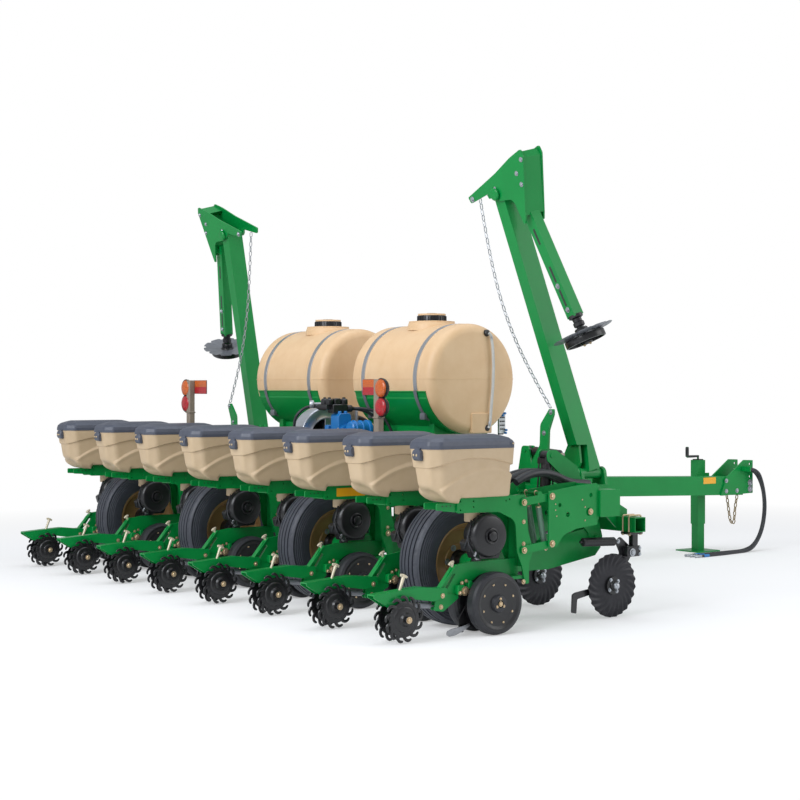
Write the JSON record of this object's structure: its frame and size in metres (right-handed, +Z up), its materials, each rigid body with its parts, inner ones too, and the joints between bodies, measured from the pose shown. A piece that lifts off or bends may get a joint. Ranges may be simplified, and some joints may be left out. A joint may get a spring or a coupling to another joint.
{
  "type": "trailed row-crop precision planter",
  "caption": "Trailed seed planter: toolbar on carrying wheels with a long tongue, hoppered row units, coulters, liquid tanks and folding row markers.",
  "frame": {"origin": "on the ground, half way along the machine's length and on its centre line", "axes": "+X forward to the hitch, +Y left, +Z up"},
  "size_m": [6.4955, 5.666, 3.2824],
  "materials": {
    "green_steel": "gloss enamel",
    "black_steel": "satin enamel",
    "grey_steel": "satin enamel",
    "hopper_plastic": "moulded polyethylene",
    "lid_plastic": "moulded polyethylene",
    "tank_plastic": "moulded polyethylene",
    "tyre_rubber": "rubber",
    "hose_rubber": "rubber",
    "disc_steel": "worn",
    "cast_black": "painted casting",
    "zinc_chain": "galvanised",
    "blower_metal": "cast",
    "cylinder_black": "gloss enamel",
    "chrome_rod": "hard chrome",
    "meter_plastic": "moulded nylon"
  },
  "bodies": {
    "frame": {"toolbar": "green_steel", "tongue": "green_steel", "wheel_arms": "green_steel", "lift_cylinders": "cylinder_black", "parallel_linkages": "green_steel", "row_frames": "green_steel", "opener_discs": "disc_steel", "hoppers": "hopper_plastic", "seed_meters": "meter_plastic", "coulter_bars": "green_steel", "coulter_shanks": "black_steel", "coulter_discs": "disc_steel", "tanks": "tank_plastic", "tank_cradles": "green_steel", "fan_and_pump": "blower_metal", "lamp_posts": "green_steel", "air_hose": "hose_rubber", "marker_cylinders": "cylinder_black", "safety_chain": "zinc_chain", "hydraulic_hoses": "hose_rubber", "hose_couplers": "zinc_chain", "marker_chain_left": "zinc_chain", "marker_chain_right": "zinc_chain"},
    "jack_leg": {"jack_leg": "green_steel"},
    "transport_wheel_1": {"transport_wheel_1": "tyre_rubber"},
    "transport_wheel_2": {"transport_wheel_2": "tyre_rubber"},
    "transport_wheel_3": {"transport_wheel_3": "tyre_rubber"},
    "transport_wheel_4": {"transport_wheel_4": "tyre_rubber"},
    "gauge_wheels_1": {"gauge_wheels_1": "tyre_rubber"},
    "closing_wheels_1": {"closing_wheels_1": "cast_black"},
    "hopper_lid_1": {"hopper_lid_1": "lid_plastic"},
    "gauge_wheels_2": {"gauge_wheels_2": "tyre_rubber"},
    "closing_wheels_2": {"closing_wheels_2": "cast_black"},
    "hopper_lid_2": {"hopper_lid_2": "lid_plastic"},
    "gauge_wheels_3": {"gauge_wheels_3": "tyre_rubber"},
    "closing_wheels_3": {"closing_wheels_3": "cast_black"},
    "hopper_lid_3": {"hopper_lid_3": "lid_plastic"},
    "gauge_wheels_4": {"gauge_wheels_4": "tyre_rubber"},
    "closing_wheels_4": {"closing_wheels_4": "cast_black"},
    "hopper_lid_4": {"hopper_lid_4": "lid_plastic"},
    "gauge_wheels_5": {"gauge_wheels_5": "tyre_rubber"},
    "closing_wheels_5": {"closing_wheels_5": "cast_black"},
    "hopper_lid_5": {"hopper_lid_5": "lid_plastic"},
    "gauge_wheels_6": {"gauge_wheels_6": "tyre_rubber"},
    "closing_wheels_6": {"closing_wheels_6": "cast_black"},
    "hopper_lid_6": {"hopper_lid_6": "lid_plastic"},
    "gauge_wheels_7": {"gauge_wheels_7": "tyre_rubber"},
    "closing_wheels_7": {"closing_wheels_7": "cast_black"},
    "hopper_lid_7": {"hopper_lid_7": "lid_plastic"},
    "gauge_wheels_8": {"gauge_wheels_8": "tyre_rubber"},
    "closing_wheels_8": {"closing_wheels_8": "cast_black"},
    "hopper_lid_8": {"hopper_lid_8": "lid_plastic"},
    "marker_arm_left": {"marker_arm_left": "green_steel"},
    "marker_outer_left": {"marker_outer_left": "green_steel"},
    "marker_disc_left": {"marker_disc_left": "disc_steel"},
    "marker_rod_left": {"marker_rod_left": "chrome_rod"},
    "marker_arm_right": {"marker_arm_right": "green_steel"},
    "marker_outer_right": {"marker_outer_right": "green_steel"},
    "marker_disc_right": {"marker_disc_right": "disc_steel"},
    "marker_rod_right": {"marker_rod_right": "chrome_rod"}
  },
  "joints": [
    {"name": "transport_wheel_1_spin", "type": "hinge", "parent": "frame", "child": "transport_wheel_1", "pos_m": [-2.202, -2.286, 0.43], "axis": [0, 1, 0], "continuous": true},
    {"name": "transport_wheel_2_spin", "type": "hinge", "parent": "frame", "child": "transport_wheel_2", "pos_m": [-2.202, -0.762, 0.43], "axis": [0, 1, 0], "continuous": true},
    {"name": "transport_wheel_3_spin", "type": "hinge", "parent": "frame", "child": "transport_wheel_3", "pos_m": [-2.202, 0.762, 0.43], "axis": [0, 1, 0], "continuous": true},
    {"name": "transport_wheel_4_spin", "type": "hinge", "parent": "frame", "child": "transport_wheel_4", "pos_m": [-2.202, 2.286, 0.43], "axis": [0, 1, 0], "continuous": true},
    {"name": "gauge_wheels_1_spin", "type": "hinge", "parent": "frame", "child": "gauge_wheels_1", "pos_m": [-2.282, -2.667, 0.204], "axis": [0, 1, 0], "continuous": true},
    {"name": "closing_wheels_1_spin", "type": "hinge", "parent": "frame", "child": "closing_wheels_1", "pos_m": [-2.974, -2.667, 0.152], "axis": [0, 1, 0], "continuous": true},
    {"name": "hopper_lid_1_hinge", "type": "hinge", "parent": "frame", "child": "hopper_lid_1", "pos_m": [-2.137, -2.667, 1.23], "axis": [0, 1, 0], "range_deg": [0, 100]},
    {"name": "gauge_wheels_2_spin", "type": "hinge", "parent": "frame", "child": "gauge_wheels_2", "pos_m": [-2.282, -1.905, 0.204], "axis": [0, 1, 0], "continuous": true},
    {"name": "closing_wheels_2_spin", "type": "hinge", "parent": "frame", "child": "closing_wheels_2", "pos_m": [-2.974, -1.905, 0.152], "axis": [0, 1, 0], "continuous": true},
    {"name": "hopper_lid_2_hinge", "type": "hinge", "parent": "frame", "child": "hopper_lid_2", "pos_m": [-2.137, -1.905, 1.23], "axis": [0, 1, 0], "range_deg": [0, 100]},
    {"name": "gauge_wheels_3_spin", "type": "hinge", "parent": "frame", "child": "gauge_wheels_3", "pos_m": [-2.282, -1.143, 0.204], "axis": [0, 1, 0], "continuous": true},
    {"name": "closing_wheels_3_spin", "type": "hinge", "parent": "frame", "child": "closing_wheels_3", "pos_m": [-2.974, -1.143, 0.152], "axis": [0, 1, 0], "continuous": true},
    {"name": "hopper_lid_3_hinge", "type": "hinge", "parent": "frame", "child": "hopper_lid_3", "pos_m": [-2.137, -1.143, 1.23], "axis": [0, 1, 0], "range_deg": [0, 100]},
    {"name": "gauge_wheels_4_spin", "type": "hinge", "parent": "frame", "child": "gauge_wheels_4", "pos_m": [-2.282, -0.381, 0.204], "axis": [0, 1, 0], "continuous": true},
    {"name": "closing_wheels_4_spin", "type": "hinge", "parent": "frame", "child": "closing_wheels_4", "pos_m": [-2.974, -0.381, 0.152], "axis": [0, 1, 0], "continuous": true},
    {"name": "hopper_lid_4_hinge", "type": "hinge", "parent": "frame", "child": "hopper_lid_4", "pos_m": [-2.137, -0.381, 1.23], "axis": [0, 1, 0], "range_deg": [0, 100]},
    {"name": "gauge_wheels_5_spin", "type": "hinge", "parent": "frame", "child": "gauge_wheels_5", "pos_m": [-2.282, 0.381, 0.204], "axis": [0, 1, 0], "continuous": true},
    {"name": "closing_wheels_5_spin", "type": "hinge", "parent": "frame", "child": "closing_wheels_5", "pos_m": [-2.974, 0.381, 0.152], "axis": [0, 1, 0], "continuous": true},
    {"name": "hopper_lid_5_hinge", "type": "hinge", "parent": "frame", "child": "hopper_lid_5", "pos_m": [-2.137, 0.381, 1.23], "axis": [0, 1, 0], "range_deg": [0, 100]},
    {"name": "gauge_wheels_6_spin", "type": "hinge", "parent": "frame", "child": "gauge_wheels_6", "pos_m": [-2.282, 1.143, 0.204], "axis": [0, 1, 0], "continuous": true},
    {"name": "closing_wheels_6_spin", "type": "hinge", "parent": "frame", "child": "closing_wheels_6", "pos_m": [-2.974, 1.143, 0.152], "axis": [0, 1, 0], "continuous": true},
    {"name": "hopper_lid_6_hinge", "type": "hinge", "parent": "frame", "child": "hopper_lid_6", "pos_m": [-2.137, 1.143, 1.23], "axis": [0, 1, 0], "range_deg": [0, 100]},
    {"name": "gauge_wheels_7_spin", "type": "hinge", "parent": "frame", "child": "gauge_wheels_7", "pos_m": [-2.282, 1.905, 0.204], "axis": [0, 1, 0], "continuous": true},
    {"name": "closing_wheels_7_spin", "type": "hinge", "parent": "frame", "child": "closing_wheels_7", "pos_m": [-2.974, 1.905, 0.152], "axis": [0, 1, 0], "continuous": true},
    {"name": "hopper_lid_7_hinge", "type": "hinge", "parent": "frame", "child": "hopper_lid_7", "pos_m": [-2.137, 1.905, 1.23], "axis": [0, 1, 0], "range_deg": [0, 100]},
    {"name": "gauge_wheels_8_spin", "type": "hinge", "parent": "frame", "child": "gauge_wheels_8", "pos_m": [-2.282, 2.667, 0.204], "axis": [0, 1, 0], "continuous": true},
    {"name": "closing_wheels_8_spin", "type": "hinge", "parent": "frame", "child": "closing_wheels_8", "pos_m": [-2.974, 2.667, 0.152], "axis": [0, 1, 0], "continuous": true},
    {"name": "hopper_lid_8_hinge", "type": "hinge", "parent": "frame", "child": "hopper_lid_8", "pos_m": [-2.137, 2.667, 1.23], "axis": [0, 1, 0], "range_deg": [0, 100]},
    {"name": "marker_arm_left_fold", "type": "hinge", "parent": "frame", "child": "marker_arm_left", "pos_m": [-0.973, 2.245, 0.975], "axis": [-1, 0, 0], "range_deg": [0, 100], "deforming": ["marker_chain_left"]},
    {"name": "marker_outer_left_fold", "type": "hinge", "parent": "marker_arm_left", "child": "marker_outer_left", "pos_m": [-1.48651, 1.929, 2.98958], "axis": [0.969, 0, 0.247], "range_deg": [0, 165]},
    {"name": "marker_disc_left_spin", "type": "hinge", "parent": "marker_outer_left", "child": "marker_disc_left", "pos_m": [-1.21049, 2.47995, 1.90671], "axis": [0.234, 0.3197, -0.9181], "continuous": true},
    {"name": "marker_rod_left_slide", "type": "slide", "parent": "frame", "child": "marker_rod_left", "axis": [0, 0.9982, -0.06], "range_m": [0, 0.26963]},
    {"name": "marker_arm_right_fold", "type": "hinge", "parent": "frame", "child": "marker_arm_right", "pos_m": [-0.973, -2.245, 0.975], "axis": [1, 0, 0], "range_deg": [0, 100], "deforming": ["marker_chain_right"]},
    {"name": "marker_outer_right_fold", "type": "hinge", "parent": "marker_arm_right", "child": "marker_outer_right", "pos_m": [-1.48651, -1.929, 2.98958], "axis": [-0.969, 0, -0.247], "range_deg": [0, 165]},
    {"name": "marker_disc_right_spin", "type": "hinge", "parent": "marker_outer_right", "child": "marker_disc_right", "pos_m": [-1.21049, -2.47995, 1.90671], "axis": [0.234, -0.3197, -0.9181], "continuous": true},
    {"name": "marker_rod_right_slide", "type": "slide", "parent": "frame", "child": "marker_rod_right", "axis": [0, -0.9982, -0.06], "range_m": [0, 0.26963]},
    {"name": "jack_leg_slide", "type": "slide", "parent": "frame", "child": "jack_leg", "axis": [0, 0, 1], "range_m": [0, 0.24]}
  ],
  "couplings": [
    {"joint": "marker_rod_left_slide", "follows": "marker_arm_left_fold", "m_per_rad": 0.1542},
    {"joint": "marker_rod_right_slide", "follows": "marker_arm_right_fold", "m_per_rad": 0.1542}
  ]
}
